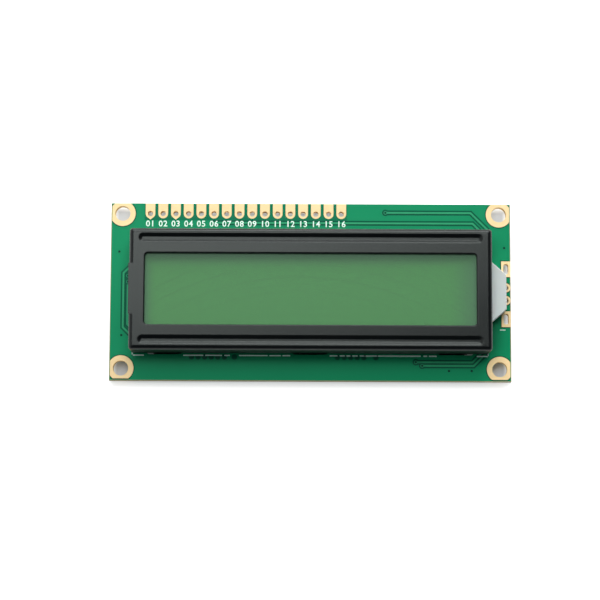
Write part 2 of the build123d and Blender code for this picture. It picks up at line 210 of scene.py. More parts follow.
class Effects:
    """The shader node groups that several finishes share, each built once."""

    def __init__(self) -> None:
        """Builds the groups."""
        self.drift = self._drift()
        self.grain = self._grain()
        self.band = self._band()

    @staticmethod
    def _start(
        name: str, inputs: dict[str, str], outputs: dict[str, str]
    ) -> tuple[bpy.types.NodeTree, Wiring, dict, dict]:
        """Makes an empty group with its sockets.

        Args:
            name: The group's name.
            inputs: Socket types by name.
            outputs: Socket types by name.

        Returns:
            The group, its wiring, its input values and its output sockets, by name.
        """
        group = bpy.data.node_groups.new(name, "ShaderNodeTree")
        for label, kind in inputs.items():
            group.interface.new_socket(label, in_out="INPUT", socket_type=kind)
        for label, kind in outputs.items():
            group.interface.new_socket(label, in_out="OUTPUT", socket_type=kind)
        wiring = Wiring(group)
        given = wiring.node("NodeGroupInput").outputs
        wanted = wiring.node("NodeGroupOutput").inputs
        return group, wiring, {n: given[n] for n in inputs}, {n: wanted[n] for n in outputs}

    def _drift(self) -> bpy.types.NodeTree:
        """A colour and a gloss that wander slowly over a surface."""
        group, wiring, given, wanted = self._start(
            "Slow drift",
            {
                "Place": "NodeSocketVector",
                "Scale": "NodeSocketFloat",
                "Colour": "NodeSocketColor",
                "Second Colour": "NodeSocketColor",
                "Roughness": "NodeSocketFloat",
                "Swing": "NodeSocketFloat",
            },
            {"Colour": "NodeSocketColor", "Roughness": "NodeSocketFloat"},
        )
        wander = wiring.noise(given["Place"], given["Scale"], 3.0)
        spread = wiring.remap(wander, 0.3, 0.7, 0.0, 1.0)
        colour = wiring.mix(spread, given["Colour"], given["Second Colour"])
        offset = wiring.sum(Sums.MULTIPLY, wiring.sum(Sums.SUBTRACT, spread, 0.5), given["Swing"])
        wiring.feed(wanted["Colour"], colour)
        wiring.feed(wanted["Roughness"], wiring.sum(Sums.ADD, given["Roughness"], offset))
        return group

    def _grain(self) -> bpy.types.NodeTree:
        """The fine relief of a coat, a moulded skin or a plated surface."""
        group, wiring, given, wanted = self._start(
            "Fine grain",
            {"Place": "NodeSocketVector", "Scale": "NodeSocketFloat", "Depth": "NodeSocketFloat"},
            {"Height": "NodeSocketFloat"},
        )
        fine = wiring.noise(given["Place"], given["Scale"], 2.0)
        coarse_scale = wiring.sum(Sums.MULTIPLY, given["Scale"], 0.22)
        coarse = wiring.noise(given["Place"], coarse_scale, 1.0)
        both = wiring.sum(Sums.ADD, fine, wiring.sum(Sums.MULTIPLY, coarse, 0.6))
        wiring.feed(wanted["Height"], wiring.sum(Sums.MULTIPLY, both, given["Depth"]))
        return group

    def _band(self) -> bpy.types.NodeTree:
        """A mask that is 1 further than a given distance from a line across one axis."""
        group, wiring, given, wanted = self._start(
            "Beyond a line",
            {"Along": "NodeSocketFloat", "Line": "NodeSocketFloat", "Reach": "NodeSocketFloat"},
            {"Mask": "NodeSocketFloat"},
        )
        away = wiring.sum(Sums.ABSOLUTE, wiring.sum(Sums.SUBTRACT, given["Along"], given["Line"]))
        wiring.feed(wanted["Mask"], wiring.sum(Sums.GREATER, away, given["Reach"]))
        return group


class Finish(Wiring):
    """One material under construction, on its own Principled shader."""

    def __init__(self, name: str) -> None:
        """Makes the material.

        Args:
            name: The material's name.
        """
        self.material = bpy.data.materials.new(name)
        self.material.use_nodes = True
        super().__init__(self.material.node_tree)
        self.shader = self.tree.nodes["Principled BSDF"]
        self.place = self.node("ShaderNodeTexCoord").outputs["Object"]

    def effect(self, group: bpy.types.NodeTree, **given: Value) -> bpy.types.Node:
        """Places a shared effect in this material.

        Args:
            group: The effect's node group.
            given: Its inputs, by name with _ for a space.

        Returns:
            The group's node.
        """
        made = self.node("ShaderNodeGroup", node_tree=group)
        for name, value in given.items():
            self.feed(made.inputs[name.replace("_", " ")], value)
        return made

    def axes(self) -> tuple[bpy.types.NodeSocket, ...]:
        """The place on the object split into X, Y and Z, in metres."""
        split = self.node("ShaderNodeSeparateXYZ")
        self.feed(split.inputs[0], self.place)
        return tuple(split.outputs)

    def facing(self) -> bpy.types.NodeSocket:
        """How far the surface's normal points along Z, from 0 to 1, either way."""
        split = self.node("ShaderNodeSeparateXYZ")
        self.feed(split.inputs[0], self.node("ShaderNodeNewGeometry").outputs["True Normal"])
        return self.sum(Sums.ABSOLUTE, split.outputs[2])

    def relief(self, height: Value, distance: float) -> None:
        """Feeds a height to the shader's normal.

        Args:
            height: The height, from 0 to about 1.
            distance: What a height of 1 stands for, in metres.
        """
        bump = self.node("ShaderNodeBump")
        bump.inputs["Distance"].default_value = distance
        self.feed(bump.inputs["Height"], height)
        self.feed(self.shader.inputs["Normal"], bump.outputs[0])

    def set(self, **values: Value) -> None:
        """Feeds the shader's sockets.

        Args:
            values: Values by socket name with _ for a space.
        """
        for name, value in values.items():
            self.feed(self.shader.inputs[name.replace("_", " ")], value)


def opaque(colour: Colour) -> tuple[float, float, float, float]:
    """The colour with full alpha, as colour sockets take it."""
    return (*colour, 1.0)


@dataclass(frozen=True)
class Coating:
    """A finish of one stuff all over: a drifting colour, an uneven gloss and a fine grain.

    Upright faces can have a roughness of their own, so that a wall doesn't mirror what lies beside it.
    Lengths are in millimetres, and colours are linear.
    """

    name: str
    colour: Colour
    second_colour: Colour
    roughness: float
    swing: float = 0.05
    drift_size: float = 6.0
    grain_size: float = 0.12
    grain_depth: float = 0.002
    metallic: float = 0.0
    alpha: float = 1.0
    coat: float = 0.0
    coat_roughness: float = 0.1
    subsurface: float = 0.0
    specular: float = 0.5
    tint: Colour = (1.0, 1.0, 1.0)
    upright_roughness: float | None = None
    upright_range: Point = (0.05, 0.25)

    def build(self, effects: Effects) -> bpy.types.Material:
        """Makes the material.

        Args:
            effects: The shared node groups.

        Returns:
            The finished material.
        """
        finish = Finish(self.name)
        drift = finish.effect(
            effects.drift,
            Place=finish.place,
            Scale=1 / (self.drift_size * MM),
            Colour=opaque(self.colour),
            Second_Colour=opaque(self.second_colour),
            Roughness=self.roughness,
            Swing=self.swing,
        )
        grain = finish.effect(
            effects.grain, Place=finish.place, Scale=1 / (self.grain_size * MM), Depth=1.0
        )
        finish.relief(grain.outputs["Height"], self.grain_depth * MM)
        roughness = drift.outputs["Roughness"]
        if self.upright_roughness is not None:
            roughness = finish.remap(
                finish.facing(), *self.upright_range, self.upright_roughness, roughness
            )
        finish.set(
            Base_Color=drift.outputs["Colour"],
            Roughness=roughness,
            Metallic=self.metallic,
            Coat_Weight=self.coat,
            Coat_Roughness=self.coat_roughness,
            Specular_IOR_Level=self.specular,
            Specular_Tint=opaque(self.tint),
        )
        if self.subsurface:
            finish.set(Subsurface_Weight=self.subsurface, Subsurface_Scale=1.0 * MM)
        if self.alpha < 1:
            finish.set(Alpha=self.alpha)
        return finish.material


@dataclass(frozen=True)
class BoardFinish:
    """Green mask on both faces of a glass-fibre board, whose cut edges and three rims stay bare."""

    mask: Colour = (0.0035, 0.235, 0.100)
    mask_thin: Colour = (0.005, 0.250, 0.105)
    laminate: Colour = (0.30, 0.26, 0.15)
    laminate_fibre: Colour = (0.42, 0.38, 0.26)
    rim: float = 0.13
    ply: float = 0.2
    roughness: float = 0.3
    specular: float = 0.04

    def build(self, effects: Effects, low: Vector, high: Vector) -> bpy.types.Material:
        """Makes the material.

        Args:
            effects: The shared node groups.
            low: The board's lowest corner, in metres.
            high: The board's highest corner, in metres.

        Returns:
            The finished material.
        """
        finish = Finish("green mask over laminate")
        centre = (low + high) / 2
        x, y, z = finish.axes()
        lower = self.rim / 2 * MM
        rims = [
            finish.effect(
                effects.band,
                Along=along,
                Line=centre[axis] + offset,
                Reach=high[axis] - centre[axis] - inset,
            ).outputs["Mask"]
            for axis, along, offset, inset in ((0, x, 0.0, self.rim * MM), (1, y, lower, lower))
        ]
        upright = finish.sum(Sums.LESS, finish.facing(), 0.5)
        bare = finish.sum(Sums.LARGER, upright, finish.sum(Sums.LARGER, *rims))
        drift = finish.effect(
            effects.drift,
            Place=finish.place,
            Scale=1 / (22 * MM),
            Colour=opaque(self.mask),
            Second_Colour=opaque(self.mask_thin),
            Roughness=self.roughness,
            Swing=0.02,
        )
        plies = finish.sum(Sums.SINE, finish.sum(Sums.MULTIPLY, z, math.tau / (self.ply * MM)))
        fibres = finish.noise(finish.place, 1 / (0.5 * MM), 4.0)
        strands = finish.remap(finish.sum(Sums.ADD, plies, fibres), -0.6, 1.6, 0.0, 1.0)
        laminate = finish.mix(strands, opaque(self.laminate), opaque(self.laminate_fibre))
        colour = finish.mix(bare, drift.outputs["Colour"], laminate)
        roughness = finish.remap(bare, 0.0, 1.0, drift.outputs["Roughness"], 0.75)
        grain = finish.effect(
            effects.grain, Place=finish.place, Scale=1 / (0.5 * MM), Depth=0.6
        )
        finish.relief(grain.outputs["Height"], 0.004 * MM)
        finish.set(Base_Color=colour, Roughness=roughness, Specular_IOR_Level=self.specular)
        return finish.material


@dataclass(frozen=True)
class ChipFinish:
    """A chip's ceramic body with a tinned end at each pad, told apart by place."""

    name: str
    body: Colour
    body_second: Colour
    lines: tuple[float, ...]
    body_reach: float = 0.66
    tin: Colour = (0.70, 0.70, 0.68)

    def build(self, effects: Effects) -> bpy.types.Material:
        """Makes the material.

        Args:
            effects: The shared node groups.

        Returns:
            The finished material.
        """
        finish = Finish(self.name)
        _, y, _ = finish.axes()
        ends: Value = 1.0
        for line in self.lines:
            beyond = finish.effect(effects.band, Along=y, Line=line * MM, Reach=self.body_reach * MM)
            ends = finish.sum(Sums.SMALLER, ends, beyond.outputs["Mask"])
        drift = finish.effect(
            effects.drift,
            Place=finish.place,
            Scale=1 / (0.4 * MM),
            Colour=opaque(self.body),
            Second_Colour=opaque(self.body_second),
            Roughness=0.38,
            Swing=0.1,
        )
        grain = finish.effect(effects.grain, Place=finish.place, Scale=1 / (0.08 * MM), Depth=1.0)
        finish.relief(grain.outputs["Height"], 0.004 * MM)
        finish.set(
            Base_Color=finish.mix(ends, drift.outputs["Colour"], opaque(self.tin)),
            Roughness=drift.outputs["Roughness"],
            Metallic=ends,
        )
        return finish.material


@dataclass(frozen=True)
class StripFinish:
    """Silicone rubber with thin dark conducting layers across its length."""

    pale: Colour = (0.72, 0.68, 0.60)
    dark: Colour = (0.03, 0.03, 0.03)
    pitch: float = 0.18

    def build(self, effects: Effects) -> bpy.types.Material:
        """Makes the material.

        Args:
            effects: The shared node groups.

        Returns:
            The finished material.
        """
        finish = Finish("layered strip rubber")
        x, _, _ = finish.axes()
        wave = finish.sum(Sums.SINE, finish.sum(Sums.MULTIPLY, x, math.tau / (self.pitch * MM)))
        grain = finish.effect(effects.grain, Place=finish.place, Scale=1 / (0.1 * MM), Depth=1.0)
        layered = finish.remap(wave, -0.2, 0.2, 0.0, 1.0)
        finish.relief(grain.outputs["Height"], 0.003 * MM)
        finish.set(Base_Color=finish.mix(layered, opaque(self.pale), opaque(self.dark)), Roughness=0.7)
        return finish.material


@dataclass(frozen=True)
class FilmFinish:
    """The green front film, with painted shade that greys it towards the window's top, left and right
    edges, in place of the bezel's shadow on the cell below.
    """

    green: Colour = (0.092, 0.305, 0.108)
    second_green: Colour = (0.096, 0.315, 0.111)
    painted_shade: Colour = (0.088, 0.165, 0.125)
    top: Point = (3.8, 7.7)
    left: Point = (-30.6, -33.8)
    right: Point = (27.5, 36.0)
    roughness: float = 0.45
    alpha: float = 0.6

    def build(self, effects: Effects) -> bpy.types.Material:
        """Makes the material.

        Args:
            effects: The shared node groups.

        Returns:
            The finished material.
        """
        finish = Finish("green front film")
        x, y, _ = finish.axes()
        drift = finish.effect(
            effects.drift,
            Place=finish.place,
            Scale=1 / (12 * MM),
            Colour=opaque(self.green),
            Second_Colour=opaque(self.second_green),
            Roughness=self.roughness,
            Swing=0.03,
        )
        # Painted shade: this mask greys the film near the window's top, left and right edges, standing
        # in for the bezel's shadow.
        edge: Value = 0.0
        for along, (start, end) in ((y, self.top), (x, self.left), (x, self.right)):
            edge = finish.sum(Sums.LARGER, edge, finish.remap(along, start * MM, end * MM, 0.0, 1.0))
        grain = finish.effect(effects.grain, Place=finish.place, Scale=1 / (0.4 * MM), Depth=1.0)
        finish.relief(grain.outputs["Height"], 0.0005 * MM)
        finish.set(
            Base_Color=finish.mix(edge, drift.outputs["Colour"], opaque(self.painted_shade)),
            Roughness=drift.outputs["Roughness"],
            Specular_IOR_Level=0.3,
            Alpha=self.alpha,
        )
        return finish.material


@dataclass(frozen=True)
class PlateFinish:
    """A glass plate of the cell, whose ground edges are greyer and less clear than its faces."""

    name: str
    face: Colour
    face_alpha: float
    face_roughness: float
    edge: Colour = (0.20, 0.30, 0.25)
    edge_alpha: float = 1.0
    edge_roughness: float = 0.4

    def build(self, effects: Effects) -> bpy.types.Material:
        """Makes the material.

        Args:
            effects: The shared node groups.

        Returns:
            The finished material.
        """
        finish = Finish(self.name)
        upright = finish.sum(Sums.LESS, finish.facing(), 0.5)
        drift = finish.effect(
            effects.drift,
            Place=finish.place,
            Scale=1 / (14 * MM),
            Colour=opaque(self.face),
            Second_Colour=opaque(tuple(0.97 * part for part in self.face)),
            Roughness=self.face_roughness,
            Swing=0.01,
        )
        grain = finish.effect(effects.grain, Place=finish.place, Scale=1 / (0.3 * MM), Depth=1.0)
        finish.relief(grain.outputs["Height"], 0.0005 * MM)
        finish.set(
            Base_Color=finish.mix(upright, drift.outputs["Colour"], opaque(self.edge)),
            Roughness=finish.remap(
                upright, 0.0, 1.0, drift.outputs["Roughness"], self.edge_roughness
            ),
            Alpha=finish.remap(upright, 0.0, 1.0, self.face_alpha, self.edge_alpha),
            Specular_IOR_Level=0.0,
        )
        return finish.material


class Sheet:
    """Thin flat shapes on one face of the board, drawn flat and then given their thickness."""

    SINK = 0.004

    def __init__(self, base: float, side: Side) -> None:
        """Starts with nothing drawn.

        Args:
            base: The face of the board that the shapes lie on, in millimetres.
            side: Which way they stand off.
        """
        self.mesh = bmesh.new()
        self.base = base
        self.side = side
        self.raised = self.mesh.faces.layers.int.new("raised")

    def strip(self, points: Sequence[Point], width: float) -> None:
        """Draws a strip of even width along a line of points, with mitred corners.

        Args:
            points: The middle of the strip, in millimetres.
            width: Its width, in millimetres.
        """
        path = [Vector((*point, 0.0)) for point in points]
        runs = [(after - before).normalized() for before, after in zip(path, path[1:])]
        sides = [Vector((-run.y, run.x, 0.0)) for run in runs]
        end: list[bmesh.types.BMVert] = []
        for i, place in enumerate(path):
            before, after = sides[max(i - 1, 0)], sides[min(i, len(sides) - 1)]
            side = (before + after).normalized()
            side *= width / 2 / max(side.dot(before), 0.2)
            corners = ((place + side) * MM, (place - side) * MM)
            if not end:
                end = [self.mesh.verts.new(corner) for corner in corners]
                self.mesh.edges.new(end)
                continue
            edge = self.mesh.edges.get(end)
            grown = bmesh.ops.extrude_edge_only(self.mesh, edges=[edge])["geom"]
            fresh = [item for item in grown if isinstance(item, bmesh.types.BMVert)]
            fresh.sort(key=lambda vert: (vert.co - end[0].co).length)
            for vert, corner in zip(fresh, corners):
                vert.co = corner
            end = fresh

    def disc(self, centre: Point, radius: float, segments: int = 24) -> None:
        """Draws a filled circle.

        Args:
            centre: Its centre, in millimetres.
            radius: Its radius, in millimetres.
            segments: How many sides it has.
        """
        bmesh.ops.create_circle(
            self.mesh,
            cap_ends=True,
            segments=segments,
            radius=radius * MM,
            matrix=Matrix.Translation(Vector((*centre, 0.0)) * MM),
        )

    def ring(self, centre: Point, outer: float, inner: float, segments: int = 40) -> None:
        """Draws a flat ring.

        Args:
            centre: Its centre, in millimetres.
            outer: Its outer radius, in millimetres.
            inner: Its inner radius, in millimetres.
            segments: How many sides it has.
        """
        loops = []
        for radius in (outer, inner):
            made = bmesh.ops.create_circle(
                self.mesh,
                segments=segments,
                radius=radius * MM,
                matrix=Matrix.Translation(Vector((*centre, 0.0)) * MM),
            )
            loops += list({edge for vert in made["verts"] for edge in vert.link_edges})
        bmesh.ops.bridge_loops(self.mesh, edges=loops)

    def box(self, low: Point, high: Point) -> None:
        """Draws a rectangle between two corners, in millimetres."""
        middle = (low[1] + high[1]) / 2
        self.strip([(low[0], middle), (high[0], middle)], high[1] - low[1])

    def trim(self, low: Point, high: Point) -> None:
        """Cuts off all that lies outside a rectangle, given by two corners in millimetres."""
        for corner, sign in ((low, -1), (high, 1)):
            for axis in (0, 1):
                place = Vector((*corner, 0.0)) * MM
                normal = Vector((sign if axis == 0 else 0, sign if axis == 1 else 0, 0))
                bmesh.ops.bisect_plane(
                    self.mesh,
                    geom=[*self.mesh.verts, *self.mesh.edges, *self.mesh.faces],
                    plane_co=place,
                    plane_no=normal,
                    clear_outer=True,
                )

    def press(self, height: float) -> None:
        """Gives all that was drawn since the last call its thickness.

        Args:
            height: How far it stands off the board's face, in millimetres.
        """
        faces = [face for face in self.mesh.faces if not face[self.raised]]
        feet = list({vert for face in faces for vert in face.verts})
        grown = bmesh.ops.extrude_face_region(self.mesh, geom=faces, use_keep_orig=True)["geom"]
        crowns = [item for item in grown if isinstance(item, bmesh.types.BMVert)]
        for verts, level in ((crowns, height), (feet, -self.SINK)):
            offset = (self.base + self.side.value * level) * MM
            bmesh.ops.translate(self.mesh, vec=Vector((0, 0, offset)), verts=verts)
        for face in self.mesh.faces:
            face[self.raised] = 1

    def piece(self, name: str, material: bpy.types.Material, slot: str) -> bpy.types.Object:
        """Makes the pressed shapes a piece of the model.

        Args:
            name: The piece's name.
            material: Its finish.
            slot: Not used.

        Returns:
            The new object.
        """
        bmesh.ops.recalc_face_normals(self.mesh, faces=self.mesh.faces)
        self.mesh.faces.layers.int.remove(self.raised)
        return as_piece(self.mesh, name, material)


def as_piece(
    shape: bmesh.types.BMesh, name: str, material: bpy.types.Material
) -> bpy.types.Object:
    """Makes a finished bmesh a piece that rides on the module's body.

    Args:
        shape: The bmesh, in metres, which is freed.
        name: The piece's name.
        material: Its finish.

    Returns:
        The new object.
    """
    mesh = bpy.data.meshes.new(name)
    shape.to_mesh(mesh)
    shape.free()
    mesh.materials.append(material)
    piece = bpy.data.objects.new(name, mesh)
    bpy.context.scene.collection.objects.link(piece)
    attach(piece, BODY)
    log.info("%s: %d faces", name, len(mesh.polygons))
    return piece


@dataclass
class Stock:
    """Every finish of the module, made once and handed out by name."""

    effects: Effects = field(default_factory=Effects)
    made: dict[str, bpy.types.Material] = field(default_factory=dict)

    def coat(self, coating: Coating) -> bpy.types.Material:
        """The material of a coating, made when it is first asked for."""
        if coating.name not in self.made:
            self.made[coating.name] = coating.build(self.effects)
        return self.made[coating.name]


BEZEL_BLACK = Coating(
    "satin black coat", (0.004, 0.0045, 0.005), (0.006, 0.0065, 0.007), 0.26, 0.02, 9.0, 0.09, 0.0006,
    specular=0.26, tint=(0.90, 1.0, 0.96), upright_roughness=0.36,
)
GOLD = Coating(
    "gold plating", (0.89, 0.685, 0.37), (0.87, 0.665, 0.355), 0.72, 0.06, 1.6, 0.06, 0.0015,
    metallic=0.2,
)
TIN = Coating(
    "tin plate", (0.72, 0.72, 0.70), (0.62, 0.62, 0.60), 0.28, 0.1, 0.6, 0.05, 0.001, metallic=1.0
)
SOLDER = Coating(
    "smooth solder", (0.74, 0.74, 0.75), (0.60, 0.60, 0.61), 0.22, 0.12, 0.5, 0.12, 0.003, metallic=1.0
)
MASK_DARK = Coating(
    "mask over laminate", (0.001, 0.085, 0.045), (0.001, 0.095, 0.05), 0.3, 0.02, specular=0.04
)
MASK_FIELD = Coating(
    "mask over a bare field", (0.003, 0.155, 0.075), (0.004, 0.17, 0.08), 0.3, 0.02, specular=0.04
)
# Mask over copper, painted lighter than the pour: partly a painted highlight on the traces' crowns.
MASK_COPPER_AND_HIGHLIGHT = Coating(
    "mask over copper", (0.025, 0.31, 0.14), (0.027, 0.325, 0.145), 0.3, 0.02, specular=0.04
)
MASK_DIMPLE = Coating(
    "mask over a filled hole", (0.0, 0.03, 0.022), (0.0, 0.04, 0.03), 0.3, 0.02, specular=0.04
)
PRINT_INK = Coating(
    "white print ink", (0.75, 0.95, 0.85), (0.70, 0.91, 0.80), 0.6, 0.05, 1.5, 0.06, 0.002, specular=0.2
)
CRYSTAL = Coating(
    "liquid crystal", (0.3, 0.5, 0.2), (0.32, 0.52, 0.2), 0.1, 0.02, alpha=0.03, specular=0.0
)
CLEAR_GLASS = PlateFinish("float glass", (0.75, 0.9, 0.8), 0.02, 0.04)
GREEN_GLASS = PlateFinish("glass on the green rear film", (0.088, 0.54, 0.102), 1.0, 0.5)
PEARL_FILM = Coating(
    "pearly rear film", (0.15, 0.56, 0.18), (0.155, 0.57, 0.185), 0.6, 0.05, 14.0, 0.1, 0.001,
)
SEAL = Coating("cured epoxy line", (0.50, 0.48, 0.40), (0.45, 0.43, 0.36), 0.45)
MILKY_FILM = Coating("milky diffusing film", (0.85, 0.87, 0.85), (0.82, 0.85, 0.82), 0.6)
WHITE_FILM = Coating("white reflecting film", (0.90, 0.90, 0.90), (0.87, 0.87, 0.87), 0.5)
ACRYLIC = Coating(
    "milky acrylic", (0.545, 0.595, 0.58), (0.53, 0.58, 0.565), 0.35, 0.05, 5.0, 0.3, 0.002,
    subsurface=0.1, specular=0.3,
)
LAMP_WHITE = Coating("white moulded body", (0.84, 0.83, 0.77), (0.80, 0.79, 0.72), 0.5)
SILICON = Coating("polished silicon", (0.15, 0.16, 0.18), (0.13, 0.14, 0.17), 0.15, metallic=0.4)
EPOXY = Coating(
    "black epoxy drop", (0.008, 0.008, 0.008), (0.012, 0.012, 0.012), 0.16, 0.06, 3.0, 1.6, 0.02,
    coat=0.3,
)


@dataclass
class CadPieces:
    """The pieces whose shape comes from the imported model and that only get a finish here."""

    resistor_lines: tuple[float, ...] = (8.2, -0.45)
    capacitor_lines: tuple[float, ...] = (4.0, -7.0)

    def dress(self, stock: Stock) -> None:
        """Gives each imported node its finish.

        Args:
            stock: The finishes.
        """
        coatings = {
            "bezel": BEZEL_BLACK,
            "mounting_rings": GOLD,
            "header_pads": GOLD,
            "backlight_slot_pads": GOLD,
            "backlight_pin_pads": GOLD,
            "contact_fingers": GOLD,
            "chip_pads": GOLD,
            "liquid_crystal": CRYSTAL,
            "cell_seal": SEAL,
            "rear_polarizer": PEARL_FILM,
            "diffuser_film": MILKY_FILM,
            "reflector_film": WHITE_FILM,
            "light_guide": ACRYLIC,
            "lamp": LAMP_WHITE,
            "lamp_leads": TIN,
            "lamp_solder": SOLDER,
            "chip_solder": SOLDER,
            "controller_die": SILICON,
            "driver_die": SILICON,
            "controller_cap": EPOXY,
            "driver_cap": EPOXY,
        }
        materials = {node: stock.coat(coating) for node, coating in coatings.items()}
        materials["front_polarizer"] = FilmFinish().build(stock.effects)
        materials["front_glass"] = CLEAR_GLASS.build(stock.effects)
        materials["rear_glass"] = GREEN_GLASS.build(stock.effects)
        materials["circuit_board"] = BoardFinish().build(stock.effects, *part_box("circuit_board"))
        materials["chip_resistors"] = ChipFinish(
            "black glaze with tinned ends", (0.02, 0.02, 0.025), (0.03, 0.03, 0.035), self.resistor_lines
        ).build(stock.effects)
        materials["chip_capacitors"] = ChipFinish(
            "tan ceramic with tinned ends", (0.42, 0.29, 0.17), (0.36, 0.24, 0.14), self.capacitor_lines
        ).build(stock.effects)
        strip = StripFinish().build(stock.effects)
        materials["rubber_strip_upper"] = strip
        materials["rubber_strip_lower"] = strip
        for node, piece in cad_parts.items():
            piece.data.materials.clear()
            piece.data.materials.append(materials[node])
            log.info("%s: %s", node, materials[node].name)


@dataclass
class BoardLayout:
    """Where things stand on the circuit board, in millimetres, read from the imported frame."""

    top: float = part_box("circuit_board")[1].z / MM
    rear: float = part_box("circuit_board")[0].z / MM
    low: Point = tuple(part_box("circuit_board")[0].xy / MM)
    high: Point = tuple(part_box("circuit_board")[1].xy / MM)
    hole_x: float = 37.5
    hole_y: float = 15.5
    ring_radius: float = 2.55
    bore_radius: float = 1.55
    header_x: float = -32.0
    header_pitch: float = 2.54
    header_count: int = 16
    header_clear: float = 0.7
    pad_radius: float = 0.96
    end_x: float = 38.86
    display_y: float = -0.45
    pin_spacing: float = 2.54
    pin_radius: float = 0.9
    slot_spacing: float = 10.0
    slot_pad: Point = (1.84, 3.15)

    def header_points(self) -> list[Point]:
        """The sixteen header holes."""
        return [(self.header_x + i * self.header_pitch, self.hole_y) for i in range(self.header_count)]

    def mounting_points(self) -> list[Point]:
        """The four mounting holes."""
        return [(x, y) for x in (-self.hole_x, self.hole_x) for y in (-self.hole_y, self.hole_y)]

    def sheet(self, side: Side) -> Sheet:
        """An empty sheet on one face of the board."""
        return Sheet(self.top if side is Side.FRONT else self.rear, side)


@dataclass
class Conductors:
    """Copper that shows through the green mask, its traces painted lighter as a painted highlight, and
    the dark gaps that part it from the pour.
    """

    layout: BoardLayout
    stock: Stock
    rim: float = 0.2
    edge: float = 0.2
    field_drop: float = 1.35
    gap_height: float = 0.006
    trace_height: float = 0.03
    step: float = 0.002
    gap_side: float = 0.32
    trace_width: float = 0.36
    via_radius: float = 0.34
    test_point_radius: float = 0.56
    test_point_y: float = -13.2
    test_point_pitch: float = 1.3

    def front_runs(self) -> list[list[Point]]:
        """The traces on the front that come out from under the bezel."""
        return [
            [(14.9, 15.83), (31.9, 15.83), (35.4, 12.33)],
            [(-19.6, 13.7), (32.3, 13.7), (33.8, 12.2)],
            [(-35.6, 5.1), (-37.2, 3.5), (-37.2, -7.35), (-35.6, -8.95)],
            [(-36.33, 1.2), (-36.33, -6.75), (-35.4, -7.68)],
            [(20.9, -14.1), (32.1, -14.1), (34.2, -12.0)],
            [(22.15, -14.8), (32.35, -14.8), (35.1, -12.05)],
        ]

    def front_vias(self) -> list[Point]:
        """The filled holes at the ends of traces on the front."""
        return [(14.9, 15.83), (20.9, -14.1), (22.15, -14.8), (-36.33, 2.95), (-36.33, 1.75)]

    def dots(self) -> list[Point]:
        """Filled holes that stand alone in the pour."""
        return [(-38.1, 7.8), (-37.47, -8.93), (38.56, 8.81), (27.44, -15.82), (31.94, -15.8)]

    def test_points(self) -> list[Point]:
        """Round bare spots below the bezel, in rows, and one that stands alone."""
        rows = ((-23.5, 6), (-15.0, 1), (5.4, 5), (13.0, 1))
        return [
            (start + i * self.test_point_pitch, self.test_point_y)
            for start, count in rows
            for i in range(count)
        ]

    def header_field(self, side: Side) -> None:
        """Builds the field without copper between and below the header pads.

        Args:
            side: The face of the board.
        """
        layout = self.layout
        clear = layout.header_clear
        outer = layout.pad_radius + self.rim
        sheet = layout.sheet(side)
        low = layout.hole_y - self.field_drop
        high = layout.high[1] - self.edge
        for i, (x, y) in enumerate(layout.header_points()):
            left = x - (layout.header_pitch - clear if i else outer)
            sheet.box((left, low), (x - clear, high))
            sheet.box((x - clear, low), (x + clear, y - clear))
        sheet.box((x + clear, low), (x + outer, high))
        sheet.press(self.gap_height)
        label = "front" if side is Side.FRONT else "rear"
        sheet.piece(f"header_field_{label}", self.stock.coat(MASK_FIELD), "solder_mask")

    def clearances(self, side: Side) -> None:
        """Builds the dark rims round the gold, and the bare spots on the front.

        Args:
            side: The face of the board.
        """
        layout = self.layout
        sheet = layout.sheet(side)
        for point in layout.mounting_points():
            sheet.ring(point, layout.ring_radius + self.rim, layout.bore_radius + 0.05, 64)
        half_x = (layout.slot_pad[0] + self.rim) / 2
        half_y = (layout.slot_pad[1] + self.rim) / 2
        for sign in (-1, 1):
            pin_y = layout.display_y + sign * layout.pin_spacing / 2
            sheet.ring((layout.end_x, pin_y), layout.pin_radius + self.rim, 0.6)
            slot_y = layout.display_y + sign * layout.slot_spacing / 2
            left, right = layout.end_x - half_x, layout.end_x + half_x
            low, high = slot_y - half_y, slot_y + half_y
            sheet.strip([(right, low), (left, low), (left, high), (right, high)], self.rim)
        if side is Side.FRONT:
            for point in self.test_points():
                sheet.disc(point, self.test_point_radius)
        sheet.trim(
            (layout.low[0] + self.edge, layout.low[1] + self.edge),
            (layout.high[0] - self.edge, layout.high[1] - self.edge),
        )
        sheet.press(self.gap_height + 5 * self.step)
        label = "front" if side is Side.FRONT else "rear"
        sheet.piece(f"pad_clearances_{label}", self.stock.coat(MASK_DARK), "solder_mask")

    def traces(self, side: Side, runs: list[list[Point]], vias: list[Point], width: float) -> None:
        """Builds a set of traces with their gaps and filled holes.

        Args:
            side: The face of the board.
            runs: The middle of each trace.
            vias: The centres of the filled holes.
            width: The width of the traces.
        """
        gaps, lines, dimples = (self.layout.sheet(side) for _ in range(3))
        for parity in (0, 1):
            for run in runs[parity::2]:
                gaps.strip(run, width + 2 * self.gap_side)
                lines.strip(run, width)
            gaps.press(self.gap_height + (1 + parity) * self.step)
            lines.press(self.trace_height + parity * self.step)
        for via in vias:
            gaps.disc(via, self.via_radius + self.gap_side)
            lines.disc(via, self.via_radius)
            dimples.disc(via, self.via_radius * 0.65, 16)
        if side is Side.FRONT:
            for dot in self.dots():
                dimples.disc(dot, self.via_radius * 0.7, 16)
        gaps.press(self.gap_height + 3 * self.step)
        lines.press(self.trace_height + 2 * self.step)
        dimples.press(self.trace_height + 3 * self.step)
        label = "front" if side is Side.FRONT else "rear"
        for sheet, name, coating in (
            (gaps, "trace_gaps", MASK_DARK),
            (lines, "traces", MASK_COPPER_AND_HIGHLIGHT),
            (dimples, "filled_holes", MASK_DIMPLE),
        ):
            sheet.piece(f"{name}_{label}", self.stock.coat(coating), "solder_mask")

    def build(self) -> None:
        """Builds both faces."""
        for side in Side:
            self.header_field(side)
            self.clearances(side)
        self.traces(Side.FRONT, self.front_runs(), self.front_vias(), self.trace_width)


